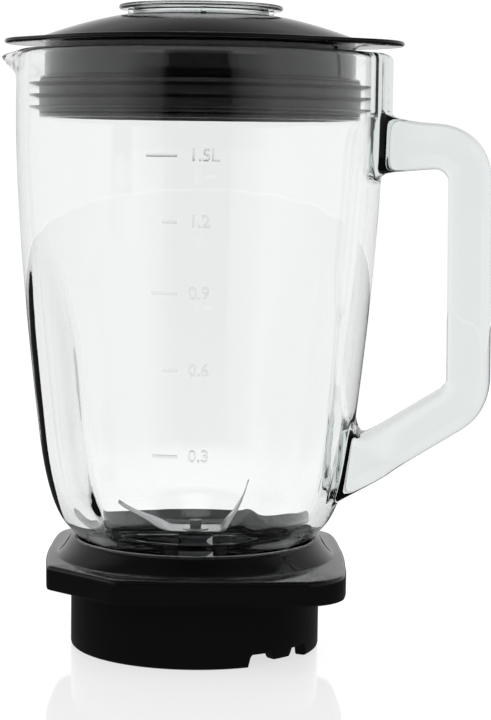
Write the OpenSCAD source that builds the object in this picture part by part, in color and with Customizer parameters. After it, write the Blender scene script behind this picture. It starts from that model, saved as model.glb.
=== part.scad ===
// Glass jar assembly of a countertop blender: measuring cap, lid, jug, screw collar
// and blade unit. Millimetres, +Z up. The origin is the centre of the collar's foot,
// on the surface it stands on. The handle points along +X and the spout along -X.

/* [Jug] */
// Outer radius of the jug below its rim
jug_r = 69.1; // [62:0.1:76]
// Height of the jug's rim above the foot
rim_z = 225.4; // [190:0.1:270]
// Glass wall
wall = 4.5; // [3:0.1:5.5]
// Height where the long taper ends
taper_z = 82; // [74:1:96]
// Outer radius of the threaded neck
neck_r = 40; // [36:0.1:42]
// How far the rounded hip stands out past the neck
hip_out = 10.4; // [9:0.1:12]
// Height of the rounded hip above the collar's ring
hip_rise = 5.5; // [4.5:0.1:8]
// How far the spout reaches past the jug's wall
spout_out = 7.7; // [3:0.1:12]
// Height of the spout below the rim
spout_h = 11; // [8:0.5:18]
// Angle from the handle's plane to the nearest flute
flute_angle = 41; // [36:1:50]
// Radius of each flute's hollow
flute_r = 22.6; // [16:0.2:26]
// Depth of each flute near the hip
flute_depth = 5.2; // [2:0.1:6.5]
// Height where the flutes fade out
flute_top_z = 152; // [120:1:170]

/* [Handle] */
// Room for fingers between the jug's wall and the grip
finger_room = 25.9; // [20:0.1:36]
// Thickness of the grip, front to back
grip_t = 16; // [12:0.5:20]
// Width of the handle
grip_w = 22; // [16:0.5:28]
// Distance from the rim down to the upper arm's top face
arm_drop = 25.5; // [16:0.5:50]
// Thickness of both arms
arm_t = 17; // [12:0.5:20]
// Bottom of the grip, where the lower arm leaves it
grip_low_z = 88.5; // [80:0.5:100]
// Fall of the lower arm, in degrees
arm_fall = 32; // [20:1:38]

/* [Lid and cap] */
// Room between the lid's plug and the glass, which the seal fills
plug_gap = 6.1; // [4:0.1:9]
// Wall of the lid's plug and dome
lid_wall = 2.4; // [1.6:0.1:3]
// Depth of the plug below the lid's plate
plug_h = 27.7; // [20:0.1:34]
// Height of the lid's plate above the rim
plate_gap = 2.6; // [1:0.1:4]
// Thickness of the lid's plate
plate_t = 1.9; // [1.4:0.1:3]
// How far the thumb tab stands out past the jug, over the handle
tab_out = 7.6; // [4:0.1:16]
// How far the cover stands out past the jug, over the spout
cover_out = 5.9; // [2:0.1:12]
// Height of the dome above the plate
dome_h = 9.2; // [5:0.1:14]
// Outer radius of the cap's neck
cap_r = 25.6; // [18:0.1:30]
// Wall of the cap
cap_wall = 2.2; // [1.5:0.1:3]
// How far the cap's top disc stands out past its neck
cap_brim = 5.2; // [3:0.1:10]
// Thickness of the cap's top disc
cap_disc_t = 1.9; // [1.5:0.1:3]
// Depth of the cap below its disc
cap_h = 29; // [20:0.5:32]

/* [Collar] */
// Wall of the round skirt that stands in the motor base
skirt_wall = 4.4; // [2.5:0.1:6]
// Height of the round skirt
skirt_h = 25.6; // [22:0.1:28]
// Thickness of the square plate
grip_plate_h = 9.2; // [7:0.1:12]
// How far the square plate stands out past the skirt
plate_out = 10; // [8:0.1:15]
// Corner radius of the square plate
grip_plate_round = 17; // [8:0.5:22]
// Length cut off each side at the plate's chamfered corner
chamfer_leg = 25; // [12:0.5:30]
// Angle from the handle to the plate's square side, with the jug screwed home
collar_turn = 10; // [0:1:45]
// Height of the conical ring above the plate
ring_h = 7.2; // [4:0.1:9]
// Pitch of the jug's screw thread
thread_pitch = 8; // [7:0.5:9]

/* [Blade unit] */
// Radius of the shaft
shaft_r = 3; // [2.5:0.1:4]
// Running clearance between the shaft and its bushes
bush_gap = 0.04; // [0.02:0.01:0.08]
// Outer radius of the bearing housing's tube
housing_r = 8; // [7:0.1:9]
// Thickness of a blade
blade_t = 1.6; // [1:0.1:2.5]
// Width of a blade across its flat middle
blade_w = 15.6; // [10:0.1:18]
// Length of a blade's flat middle
blade_flat = 19; // [14:0.5:22]
// Clearance between the upper blade's tips and the neck's bore, seen from above
upper_tip_gap = 6.4; // [4:0.1:12]
// Clearance between the lower blade's tips and the neck's bore, seen from above
lower_tip_gap = 9.1; // [5:0.1:14]
// Rise of the upper blade's shallow wing, in degrees
shallow_rise = 34; // [20:1:45]
// Rise of the upper blade's steep wing, in degrees
steep_rise = 57; // [40:1:65]
// Fall of the lower blade's wings, in degrees
lower_fall = 24; // [10:1:30]
// Height of the lower blade above the bearing housing
blade_rise = 7.4; // [7:0.1:12]
// Radius of the drive coupling's lobes
coupling_r = 15; // [12:0.5:20]
// Number of lobes on the drive coupling
coupling_lobes = 6; // [4:1:8]

/* [Hidden] */
$fn = 96;
eps = 0.01;

// Gaps between pieces
loose = 0.6;      // between threads and around plain round fits
seal_gap = 0.3;   // between the lid seal's fins and the glass
hair = 0.1;       // between faces that slide past each other

// Jug's body, where it is round and straight, and the neck inside
thread_d = 2.6;
neck_bore = neck_r - wall - 0.5;
hip_r = neck_r + hip_out;
taper_r = hip_r + 0.5134 * (jug_r - hip_r);
straight_z = rim_z - 25.4;
brow_z = straight_z - 42.2;
taper_slope = (jug_r - taper_r) / (brow_z - taper_z);

// Collar, from the foot up
plate_top_z = skirt_h + grip_plate_h;
ring_top_z = plate_top_z + ring_h;
shelf_z = 14;
shelf_t = 3;
carrier_t = 3.2;
seat_z = shelf_z + shelf_t + carrier_t;
seal_t = 2.4;
neck_z = seat_z + seal_t;
bore_r = neck_r + thread_d + loose;
skirt_r = bore_r + skirt_wall;
foot_round = min(1.2, skirt_wall / 3);
shelf_r = bore_r - 9.6;
ring_in_r = bore_r + 2;
ring_out_r = ring_in_r + 2.9;
cone_r = ring_out_r + 4.6;
plate_x = skirt_r + plate_out;
deck_t = 3;
plate_wall = 2.6;
thread_z = neck_z + 3.4;
thread_w = 3;

// Jug's neck and hip, which stand clear of the collar's ring
neck_top_z = ring_top_z - 5;
shoulder = [neck_r + 4.4, ring_top_z + 0.2];
hip_z = ring_top_z + hip_rise;

// Handle
arm_top_z = rim_z - arm_drop;
grip_x = jug_r + finger_room + grip_t;
root_x = taper_r - 10;

// Bearing stack, from the shaft's foot up
housing_z = shelf_z + 2;
boss_r = housing_r + 5.5;
boss_z = seat_z + 0.6;
boss_top_z = boss_z + 3.8;
gasket_t = 0.6;
flange_z = boss_top_z + gasket_t;
flange_t = 2;
flange_r = housing_r + 4.2;
nut_h = 3.6;
housing_top_z = flange_z + flange_t + 5.8;
housing_bore = shaft_r + 2.5;
washer_t = 0.8;
washer_r = shaft_r + 3.2;
low_bush_h = 5;
high_bush_h = 6;
oil_seal_t = 2;
spacer_top_z = housing_top_z + blade_rise;
blade_gap = 1.2;
upper_blade_z = spacer_top_z + blade_t + blade_gap;
neck_shaft_r = shaft_r - 0.8;
clip_z = housing_z - hair - 2 * washer_t;
clip_d = 0.4;
insert_z = 5;
insert_r = shaft_r + 2.6;
coupling_z = 3.5;
coupling_hub_r = insert_r + 3.9;
coupling_top_z = clip_z - 0.3;
lobe_w = 5;
lobe_h = 6;

// Lid and cap
plug_r = jug_r - wall - plug_gap;
lid_z = rim_z + plate_gap;
lid_top_z = lid_z + plate_t;
dome_top_z = lid_top_z + dome_h;
plug_low_z = lid_z - plug_h;
plug_low_t = 1.7;
lip_r = plug_r + 3;
lobe_r = 30;
tab_x = jug_r + tab_out;
cover_x = jug_r + cover_out;
hole_r = cap_r + loose;
cap_disc_r = cap_r + cap_brim;
rib_h = 1.8;
cap_under_z = dome_top_z + rib_h;
cap_low_z = cap_under_z - cap_h;
seal_h = 12.4;
seal_wall = 1.8;
fin_count = 3;
fin_pitch = 4.3;
fin_t = 1.1;

// Point at t on the curve from a to c that leaves along a-b and arrives along b-c
function bend(a, b, c, t) = (1 - t) * (1 - t) * a + 2 * t * (1 - t) * b + t * t * c;
function bend_path(a, b, c, n) = [for (i = [0 : n]) bend(a, b, c, i / n)];

// A closed outline with each corner rounded to its own radius
function unit(v) = v / norm(v);
function turn(a) = a > 180 ? a - 360 : a < -180 ? a + 360 : a;
function corner_arc(p, q, s, r, n) =
    let (u = unit(p - q), v = unit(s - q), half = acos(max(-1, min(1, u * v))) / 2,
         c = q + unit(u + v) * r / sin(half), a = q + u * r / tan(half) - c,
         b = q + v * r / tan(half) - c, a0 = atan2(a[1], a[0]),
         d = turn(atan2(b[1], b[0]) - a0))
    [for (i = [0 : n]) c + r * [cos(a0 + d * i / n), sin(a0 + d * i / n)]];
function rounded(pts, rs, n = 6) =
    let (m = len(pts))
    [for (i = [0 : m - 1])
        each rs[i] > 0
            ? corner_arc(pts[(i + m - 1) % m], pts[i], pts[(i + 1) % m], rs[i], n)
            : [pts[i]]];

// A ring between two radii
module ring(r_in, r_out, z0, h) {
    translate([0, 0, z0])
        difference() {
            cylinder(r = r_out, h = h);
            translate([0, 0, -eps]) cylinder(r = r_in, h = h + 2 * eps);
        }
}

// Part of a ring, from angle a0 over angle a
module sector(r_in, r_out, z0, h, a0, a) {
    rotate(a0)
        rotate_extrude(angle = a)
            translate([r_in, z0]) square([r_out - r_in, h]);
}

// A screw thread's ridge: rings of four points swept up a helix, fading out at both ends
module ridge(r_root, r_crest, z0, a0, turns) {
    steps = round(36 * turns);
    fade = 3;
    function crest(i) =
        r_root + (r_crest - r_root) * max(0.3, min(1, i / fade, (steps - i) / fade));
    function place(r, i, dz) =
        let (a = a0 + 360 * turns * i / steps)
        [r * cos(a), r * sin(a), z0 + thread_pitch * a / 360 + dz];
    points = [for (i = [0 : steps])
        each [place(r_root, i, -thread_w / 2), place(crest(i), i, -thread_w / 3),
              place(crest(i), i, thread_w / 3), place(r_root, i, thread_w / 2)]];
    flip = r_crest > r_root;
    sides = [for (i = [0 : steps - 1], j = [0 : 3])
        let (k = (j + 1) % 4, q = [4 * i + j, 4 * i + k, 4 * i + 4 + k, 4 * i + 4 + j])
        each flip ? [[q[0], q[1], q[2]], [q[0], q[2], q[3]]]
                  : [[q[0], q[2], q[1]], [q[0], q[3], q[2]]]];
    first = flip ? [3, 2, 1, 0] : [0, 1, 2, 3];
    last = [for (j = flip ? [0, 1, 2, 3] : [3, 2, 1, 0]) 4 * steps + j];
    polyhedron(points, concat([first], sides, [last]), convexity = 6);
}

module measuring_cap() {
    color("gainsboro", 0.5) {
        rotate_extrude()
            polygon(rounded([[0, cap_under_z], [cap_disc_r, cap_under_z],
                             [cap_disc_r, cap_under_z + cap_disc_t],
                             [0, cap_under_z + cap_disc_t]],
                            [0, 0.47 * cap_disc_t, 0.47 * cap_disc_t, 0]));
        ring(cap_r - cap_wall, cap_r, cap_low_z, cap_h + eps);
        for (i = [0 : 3])
            sector(cap_r - 0.5, cap_r + 1.9, dome_top_z, rib_h + eps, 90 * i + collar_turn, 5);
    }
}

// The lid's dome line, from the cap's hole out to the plate
function dome_line(drop) =
    bend_path([hole_r, dome_top_z - drop], [hole_r + 13.8, dome_top_z - 1.6 - drop],
              [plug_r + 1.5, lid_top_z - drop], 10);

// Half of the lid's plate outline: a lobe that ends at reach, and the points where its
// sides leave the round middle
function lobe(reach) =
    let (c = reach - lobe_r, half = acos((lip_r - lobe_r) / c), steps = 8)
    [for (i = [-steps : steps])
        let (a = half * i / steps, p = [c, 0] + lobe_r * [cos(a), sin(a)])
        each i == -steps ? [lip_r * [cos(a), sin(a)], p]
           : i == steps ? [p, lip_r * [cos(a), sin(a)]] : [p]];

module lid() {
    color("#141416") {
        difference() {
            union() {
                translate([0, 0, lid_z])
                    linear_extrude(plate_t)
                        polygon(concat(lobe(tab_x), [for (p = lobe(cover_x)) -p]));
                translate([0, 0, lid_z]) cylinder(r = lip_r, h = plate_t);
            }
            translate([0, 0, lid_z - 1]) cylinder(r = plug_r - lid_wall, h = plate_t + 2);
        }
        rotate_extrude()
            polygon(concat(dome_line(0),
                           [[plug_r + 1.5, lid_top_z - 1], [plug_r, lid_z],
                            [plug_r, plug_low_z], [plug_r - lid_wall, plug_low_z],
                            [plug_r - lid_wall, lid_z - 1]],
                           [for (i = [9 : -1 : 1]) dome_line(lid_wall)[i]],
                           [[hole_r + lid_wall, dome_top_z - lid_wall - 0.4],
                            [hole_r + lid_wall, lid_z], [hole_r, lid_z]]));
        ring(plug_r - lid_wall, plug_r + seal_wall + 0.2, plug_low_z, plug_low_t);
    }
}

module lid_seal() {
    seal_low_z = plug_low_z + plug_low_t;
    fin_r = jug_r - wall - seal_gap;
    color("#1d1d1f") {
        ring(plug_r, plug_r + seal_wall, seal_low_z, seal_h);
        for (i = [0 : fin_count - 1])
            ring(plug_r + seal_wall - 0.3, fin_r, seal_low_z + 1.2 + fin_pitch * i, fin_t);
    }
}

// Outer line of the jug from its neck up to the rim, set in by the given wall
function jug_line(w) =
    let (low = [hip_r - 0.76 * w, hip_z + 0.65 * w], mid = [taper_r - w, taper_z],
         high = [jug_r - w, straight_z], knee_z = hip_z + 7.5 + 0.43 * w,
         knee = [mid[0] - taper_slope * (taper_z - knee_z), knee_z], brow = [high[0], brow_z])
    concat(bend_path(low, knee, mid, 8), bend_path(mid, brow, high, 8));

// A flute's hollow: a leaning cylinder, widened by the given wall
module flutes(w) {
    floor_low = [hip_r + 4.8 - flute_depth, hip_z + 10.5];
    floor_high = [jug_r - 1.1, flute_top_z];
    lean = atan2(floor_high[0] - floor_low[0], floor_high[1] - floor_low[1]);
    for (side = [0, 180], way = [-1, 1])
        rotate(side + way * flute_angle)
            translate([floor_low[0], 0, floor_low[1]])
                rotate([0, lean, 0])
                    translate([flute_r, 0, -30])
                        cylinder(r = flute_r + w, h = flute_top_z - floor_low[1] + 60);
}

module jug_outside() {
    rotate_extrude()
        polygon(concat([[0, neck_z], [neck_r, neck_z], [neck_r, neck_top_z], shoulder],
                       jug_line(0),
                       rounded([[jug_r, straight_z], [jug_r, rim_z], [0, rim_z]],
                               [0, wall / 2 - 0.05, 0])));
}

module jug_inside() {
    rotate_extrude()
        polygon(concat([[0, neck_z - 1], [neck_bore, neck_z - 1],
                        [neck_bore, neck_top_z + 1], shoulder + [-3.4, 3]],
                       jug_line(wall),
                       [[jug_r - wall, rim_z - wall / 2], [jug_r - wall / 2, rim_z + 1],
                        [0, rim_z + 1]]));
}

module spout_cone(w) {
    set_in = 11;
    r_top = spout_out + set_in - w;
    r_low = set_in - 1 - w;
    translate([set_in - jug_r, 0, rim_z - spout_h - 1])
        cylinder(r1 = r_low, r2 = r_top, h = spout_h + 1 + (w > 0 ? 0.01 : 0));
}

// The handle's side view: outer line, and the finger gap cut from it
module handle_side() {
    fall = tan(arm_fall);
    knee_x = grip_x - 9;
    low_z = grip_low_z - (knee_x - root_x) * fall;
    gap_x = grip_x - grip_t;
    rise = arm_t / cos(arm_fall);
    difference() {
        polygon(rounded([[root_x, arm_top_z], [grip_x - 2.5, arm_top_z],
                         [grip_x, grip_low_z + 8], [knee_x, grip_low_z - 2], [root_x, low_z]],
                        [0, 13, 8, 9, 0]));
        polygon(rounded([[root_x, arm_top_z - arm_t], [gap_x - 1, arm_top_z - arm_t],
                         [gap_x, grip_low_z + rise - 6], [root_x, low_z + rise]],
                        [0, 7, 6, 0]));
    }
}

module jug() {
    color("#dfe5e6", 0.45) {
        difference() {
            union() {
                difference() {
                    jug_outside();
                    flutes(0);
                }
                spout_cone(0);
                difference() {
                    translate([0, grip_w / 2, 0])
                        rotate([90, 0, 0]) linear_extrude(grip_w) handle_side();
                    translate([0, 0, neck_top_z + 3])
                        cylinder(r = root_x + 0.5, h = rim_z - neck_top_z);
                }
            }
            difference() {
                jug_inside();
                flutes(wall);
            }
            spout_cone(wall);
            ring(jug_r + spout_out - 0.2, jug_r + 30, rim_z - 0.4, 3);
        }
        ridge(neck_r - 0.6, neck_r + thread_d - 0.4, thread_z, 0, 1);
    }
}

module jug_seal() {
    color("#8f9296") ring(neck_bore + 0.2, neck_r + 0.2, seat_z, seal_t);
}

// The square plate's outline: sides bowed outward, one corner cut off at 45 degrees
function plate_outline(inset) =
    let (m = plate_x - inset, c = m - 3, g = chamfer_leg - 0.6 * inset, bow = 5.5 * c,
         cut_bow = 8.45 * (c - g), corner = grip_plate_round - inset)
    rounded([[m, 0], [c, c], [0, m], [-c, c], [-m, 0], [-c - 0.4, -c + g],
             [-c + g, -c - 0.4], [0, -m], [c, -c]],
            [bow, corner, bow, corner, cut_bow, 3, 3, cut_bow, corner]);

// The hollow square plate: a deck on top of a wall
module grip_plate() {
    wall_h = grip_plate_h - deck_t;
    translate([0, 0, skirt_h + wall_h]) linear_extrude(deck_t) polygon(plate_outline(0));
    translate([0, 0, skirt_h])
        linear_extrude(wall_h)
            difference() {
                polygon(plate_outline(0));
                polygon(plate_outline(plate_wall));
            }
}

module collar() {
    step = 0.9;
    notch_h = 4.6;
    notch_a0 = -64;
    notch_a1 = -29;
    tooth_w = 8.6;
    tooth_low = 1.8;
    cut_in = bore_r - 13.2;
    cut_out = skirt_r + 12.9;
    color("#121214") {
        rotate(collar_turn)
            difference() {
                union() {
                    rotate_extrude()
                        polygon(rounded([[0, 0], [skirt_r, 0], [skirt_r, skirt_h - 0.4],
                                         [skirt_r - step, skirt_h],
                                         [skirt_r - step, plate_top_z - 1.5],
                                         [cone_r + 0.3, plate_top_z - 1.5],
                                         [cone_r, plate_top_z], [ring_out_r, ring_top_z],
                                         [0, ring_top_z]],
                                        [0, foot_round, 0, 0, 0, 0, 0, 1.2, 0]));
                    grip_plate();
                    for (a = [0 : 30 : 330])
                        rotate(a)
                            translate([skirt_r - 0.8, -0.9, skirt_h + 1])
                                cube([min(4, plate_out - 2), 1.8, grip_plate_h - deck_t - 0.4]);
                }
                rotate_extrude()
                    polygon([[0, -1], [bore_r, -1], [bore_r, shelf_z], [shelf_r, shelf_z],
                             [shelf_r, shelf_z + shelf_t], [bore_r, shelf_z + shelf_t],
                             [bore_r, neck_top_z], [ring_in_r, ring_top_z - 1],
                             [ring_in_r + 0.5, ring_top_z + 1], [0, ring_top_z + 1]]);
                for (half = [0, 180])
                    rotate(half)
                        difference() {
                            translate([0, 0, -1])
                                linear_extrude(notch_h + 1)
                                    polygon([for (p = [[cut_in, notch_a0], [cut_out, notch_a0],
                                                       [cut_out, notch_a1], [cut_in, notch_a1]])
                                        p[0] * [cos(p[1]), sin(p[1])]]);
                            rotate((notch_a0 + notch_a1) / 2)
                                translate([cut_in, -tooth_w / 2, tooth_low])
                                    cube([cut_out - cut_in, tooth_w, notch_h]);
                        }
            }
        ridge(bore_r + 0.5, neck_r + loose, thread_z + thread_pitch / 2, -250, 1.3);
    }
}

module blade_carrier() {
    bore = housing_r + hair;
    wall_r = neck_bore - loose;
    dish_r = wall_r - 6.4;
    under_z = seat_z - carrier_t;
    color("#17171a")
        rotate_extrude()
            polygon([[bore, boss_z], [boss_r, boss_z], [boss_r + 1, boss_z - 1],
                     [shelf_r - 3.6, under_z + 1.6], [shelf_r - loose, under_z],
                     [bore_r - loose, under_z], [bore_r - loose, seat_z], [wall_r, seat_z],
                     [wall_r, seat_z + 6], [wall_r - 1.6, seat_z + 6.2],
                     [dish_r, seat_z + 3.6], [(boss_r + 2.5 + dish_r) / 2, seat_z + 2.3],
                     [boss_r + 2.5, boss_top_z - 2], [boss_r, boss_top_z],
                     [bore, boss_top_z]]);
}

module bearing_housing() {
    color("#b9bcc0")
        difference() {
            union() {
                translate([0, 0, housing_z])
                    cylinder(r = housing_r, h = housing_top_z - housing_z);
                translate([0, 0, flange_z]) cylinder(r = flange_r, h = flange_t);
            }
            translate([0, 0, housing_z - 1])
                cylinder(r = housing_bore, h = housing_top_z - housing_z + 2);
        }
}

module housing_gasket() {
    color("#2a2a2c") ring(housing_r, flange_r, boss_top_z, gasket_t);
}

module nut_washer() {
    color("#c8cacd") ring(housing_r, housing_r + 5, boss_z - washer_t, washer_t);
}

module housing_nut() {
    nut_z = boss_z - washer_t - nut_h;
    color("#c2a766")
        difference() {
            translate([0, 0, nut_z]) cylinder(r = housing_r + 4.6, h = nut_h, $fn = 6);
            translate([0, 0, nut_z - 1]) cylinder(r = housing_r, h = nut_h + 2);
        }
}

module bush(z0, h) {
    color("#b08a4a") ring(shaft_r + bush_gap, housing_bore, z0, h);
}

module lower_bush() {
    bush(housing_z, low_bush_h);
}

module upper_bush() {
    bush(housing_top_z - oil_seal_t - high_bush_h, high_bush_h);
}

module oil_felt() {
    felt_z = housing_z + low_bush_h;
    color("#6d6a62")
        ring(shaft_r + 0.2, housing_bore, felt_z,
             housing_top_z - oil_seal_t - high_bush_h - felt_z);
}

module shaft_seal() {
    color("#222224") ring(shaft_r + 0.05, housing_bore, housing_top_z - oil_seal_t, oil_seal_t);
}

module shaft() {
    head_z = upper_blade_z + blade_t;
    color("#9a9da1")
        difference() {
            union() {
                translate([0, 0, insert_z]) cylinder(r = shaft_r, h = spacer_top_z - insert_z);
                translate([0, 0, spacer_top_z - eps])
                    cylinder(r = neck_shaft_r, h = head_z - spacer_top_z + eps);
                translate([0, 0, head_z]) cylinder(r1 = shaft_r, r2 = shaft_r - 0.7, h = 1.8);
            }
            ring(shaft_r - clip_d, shaft_r + 1, clip_z, washer_t);
        }
}

module top_washer() {
    color("#d0d2d4") ring(shaft_r, washer_r, housing_top_z + hair, washer_t);
}

module blade_spacer() {
    low_z = housing_top_z + hair + washer_t;
    color("#2f3033") ring(shaft_r, shaft_r + 0.8, low_z, spacer_top_z - low_z);
}

// Length of a wing that ends a gap inside the neck's bore
function wing_length(gap, angle) = (neck_bore - gap - blade_flat / 2) / cos(angle);

// One blade: a bent strip, cut to its outline as seen from above. Its wings rise, or fall
// where the angle is negative.
module blade(z0, wing, angles) {
    half = blade_flat / 2;
    t = blade_t / 2;
    function bent(side, up) =
        let (a = angles[side], s = side == 0 ? 1 : -1, k = up ? t : -t,
             knee = [s * (half - k * tan(a / 2)), t + k],
             tip = [s * (half + wing * cos(a) - k * sin(a)), t + wing * sin(a) + k * cos(a)])
        [knee, tip];
    function plan(side) =
        let (c = cos(angles[side]), w = blade_w / 2, s = side == 0 ? 1 : -1)
        [for (p = [[0, -w], [0.2, -w], [0.93, w - 3.6], [0.99, w - 1.4], [0.9, w]])
            s * [half + p[0] * wing * c, p[1]]];
    difference() {
        intersection() {
            translate([0, blade_w, z0])
                rotate([90, 0, 0])
                    linear_extrude(2 * blade_w)
                        polygon([bent(1, false)[1], bent(1, false)[0], bent(0, false)[0],
                                 bent(0, false)[1], bent(0, true)[1], bent(0, true)[0],
                                 bent(1, true)[0], bent(1, true)[1]]);
            translate([0, 0, z0 - 2 * wing])
                linear_extrude(4 * wing) polygon(concat(plan(0), plan(1)));
        }
        translate([0, 0, z0 - 1]) cylinder(r = neck_shaft_r, h = blade_t + 2);
    }
}

module lower_blade() {
    color("#c9ccd0")
        rotate(collar_turn + 90)
            blade(spacer_top_z, wing_length(lower_tip_gap, lower_fall),
                  [-lower_fall, -lower_fall]);
}

module blade_washer() {
    color("#85888c") ring(neck_shaft_r, shaft_r + 2, spacer_top_z + blade_t, blade_gap);
}

module upper_blade() {
    color("#d6d9dc")
        rotate(collar_turn + 180)
            blade(upper_blade_z, wing_length(upper_tip_gap, shallow_rise),
                  [shallow_rise, steep_rise]);
}

module bottom_washer() {
    color("#d0d2d4") ring(shaft_r, washer_r, housing_z - hair - washer_t, washer_t);
}

module circlip() {
    color("#55585c")
        difference() {
            ring(shaft_r - clip_d, shaft_r + 1.8, clip_z, washer_t);
            translate([1, -1, clip_z - 1]) cube([8, 2, 3]);
        }
}

module coupling_insert() {
    color("#a8abae")
        difference() {
            translate([0, 0, insert_z])
                cylinder(r = insert_r, h = coupling_top_z - insert_z, $fn = 6);
            translate([0, 0, insert_z - 1]) cylinder(r = shaft_r, h = 20);
        }
}

module drive_coupling() {
    color("#202022")
        difference() {
            union() {
                translate([0, 0, coupling_z])
                    cylinder(r = coupling_hub_r, h = coupling_top_z - coupling_z);
                for (i = [0 : coupling_lobes - 1])
                    rotate(360 / coupling_lobes * i)
                        translate([5, -lobe_w / 2, coupling_z])
                            cube([coupling_r - 5, lobe_w, lobe_h]);
            }
            translate([0, 0, insert_z])
                cylinder(r = insert_r, h = 20, $fn = 6);
            translate([0, 0, coupling_z - 1]) cylinder(r = shaft_r, h = 20);
        }
}

measuring_cap();
lid();
lid_seal();
jug();
jug_seal();
collar();
blade_carrier();
bearing_housing();
housing_gasket();
nut_washer();
housing_nut();
upper_bush();
lower_bush();
oil_felt();
shaft_seal();
shaft();
top_washer();
blade_spacer();
lower_blade();
blade_washer();
upper_blade();
bottom_washer();
circlip();
coupling_insert();
drive_coupling();
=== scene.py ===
"""The glass jar of a countertop blender: measuring cap, lid, jug, screw collar and blade unit.
Metres, +Z up, origin at the centre of the collar's foot, handle towards +X, spout towards -X.
Shapes are worked out in millimetres and become metres as each mesh is made."""

import math

import bmesh
import bpy
from mathutils import Matrix, Vector


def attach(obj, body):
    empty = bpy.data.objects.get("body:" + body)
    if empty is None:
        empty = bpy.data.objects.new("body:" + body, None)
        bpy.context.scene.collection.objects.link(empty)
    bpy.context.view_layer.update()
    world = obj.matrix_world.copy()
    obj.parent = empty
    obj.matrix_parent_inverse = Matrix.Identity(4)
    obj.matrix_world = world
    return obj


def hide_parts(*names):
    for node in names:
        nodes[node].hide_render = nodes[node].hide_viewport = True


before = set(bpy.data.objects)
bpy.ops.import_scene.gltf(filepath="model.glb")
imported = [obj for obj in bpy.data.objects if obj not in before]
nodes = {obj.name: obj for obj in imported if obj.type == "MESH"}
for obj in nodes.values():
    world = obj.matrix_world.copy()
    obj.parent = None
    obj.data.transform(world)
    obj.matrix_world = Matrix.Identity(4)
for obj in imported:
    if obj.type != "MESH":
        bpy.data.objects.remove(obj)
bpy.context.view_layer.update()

# ---------------------------------------------------------------------------
# Camera: a long lens a little above the jar's waist, turned towards the handle
# side and tipped down, so the lid's underside and the collar's top both show.
# ---------------------------------------------------------------------------
view_turn = math.radians(10.2)
view_pitch = math.radians(5.757)
view_roll = math.radians(0.753)
view_aside = math.radians(1.2945)
view_distance = 0.812
eye_height = 0.1912
lens_mm = 106.9

camera = bpy.data.objects.new("camera", bpy.data.cameras.new("camera"))
bpy.context.scene.collection.objects.link(camera)
camera.data.sensor_width = 36
camera.data.lens = lens_mm
camera.data.clip_start = 0.01
camera.matrix_world = (
    Matrix.Translation(
        (view_distance * math.sin(view_turn), -view_distance * math.cos(view_turn), eye_height)
    )
    @ Matrix.Rotation(view_turn - view_aside, 4, "Z")
    @ Matrix.Rotation(math.pi / 2 - view_pitch, 4, "X")
    @ Matrix.Rotation(view_roll, 4, "Z")
)
bpy.context.scene.camera = camera

# ---------------------------------------------------------------------------
# Jug: pressed soda-lime glass about 4.5 mm thick, in one piece with its handle, its spout,
# four flutes that lift the food back into the blades, and a screw thread below.
# ---------------------------------------------------------------------------
MM = 0.001


def smooth(low, high, x):
    """0 below low, 1 above high, with a soft rise between."""
    t = min(1.0, max(0.0, (x - low) / (high - low)))
    return t * t * (3 - 2 * t)


def rounded_line(points, radii, steps=5):
    """A line through points with each inner corner rounded to its own radius."""
    out = [points[0]]
    for before, corner, after, radius in zip(points, points[1:], points[2:], radii):
        p, q, s = Vector(before), Vector(corner), Vector(after)
        u, v = (p - q).normalized(), (s - q).normalized()
        half = u.angle(v) / 2
        if radius <= 0 or half > math.pi / 2 - 0.01:
            out.append(tuple(q))
            continue
        reach = radius / math.tan(half)
        centre = q + (u + v).normalized() * radius / math.sin(half)
        a, b = q + u * reach - centre, q + v * reach - centre
        whole = a.angle(b)
        for i in range(steps + 1):
            t = i / steps
            arm = (a * math.sin((1 - t) * whole) + b * math.sin(t * whole)) / math.sin(whole)
            out.append(tuple(centre + arm))
    out.append(points[-1])
    return out


def bend_line(a, b, c, steps):
    """Points on the curve that leaves a towards b and comes into c from b."""
    return [
        tuple((1 - t) ** 2 * p + 2 * t * (1 - t) * q + t * t * r for p, q, r in zip(a, b, c))
        for t in (i / steps for i in range(steps + 1))
    ]


def reader(points):
    """A function that reads a line of (radius, height) points as radius at a height."""

    def read(z):
        for (r0, z0), (r1, z1) in zip(points, points[1:]):
            if z <= z1:
                return r0 + (r1 - r0) * max(0.0, z - z0) / max(1e-9, z1 - z0)
        return points[-1][0]

    return read


def skin(name, verts, faces, sharp=32):
    """A mesh object from points in millimetres, smooth but for edges sharper than an angle."""
    mesh = bpy.data.meshes.new(name)
    mesh.from_pydata([tuple(c * MM for c in v) for v in verts], [], faces)
    made = bmesh.new()
    made.from_mesh(mesh)
    bmesh.ops.remove_doubles(made, verts=made.verts, dist=1e-6)
    bmesh.ops.recalc_face_normals(made, faces=made.faces)
    made.to_mesh(mesh)
    made.free()
    mesh.shade_smooth()
    mesh.set_sharp_from_angle(angle=math.radians(sharp))
    obj = bpy.data.objects.new(name, mesh)
    bpy.context.scene.collection.objects.link(obj)
    return obj


jug_r = 69.1
rim_z = 225.4
wall = 4.5
neck_r = 40.0
neck_low_z = 22.6
thread_pitch = 8.0
flute_turns = [math.radians(a) for a in (41, 139, 221, 319)]
# half a flute's width, its depth, and the heights between which its round top closes
flute_half = 17.5
flute_deep = 3.4
flute_taper_z = 112.0
flute_top_z = 155.0
strap_t = 3.4
spout_reach = 7.4
lip_half = 2.2
lip_dip = 1.9
ridge_depth = 2.2

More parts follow.
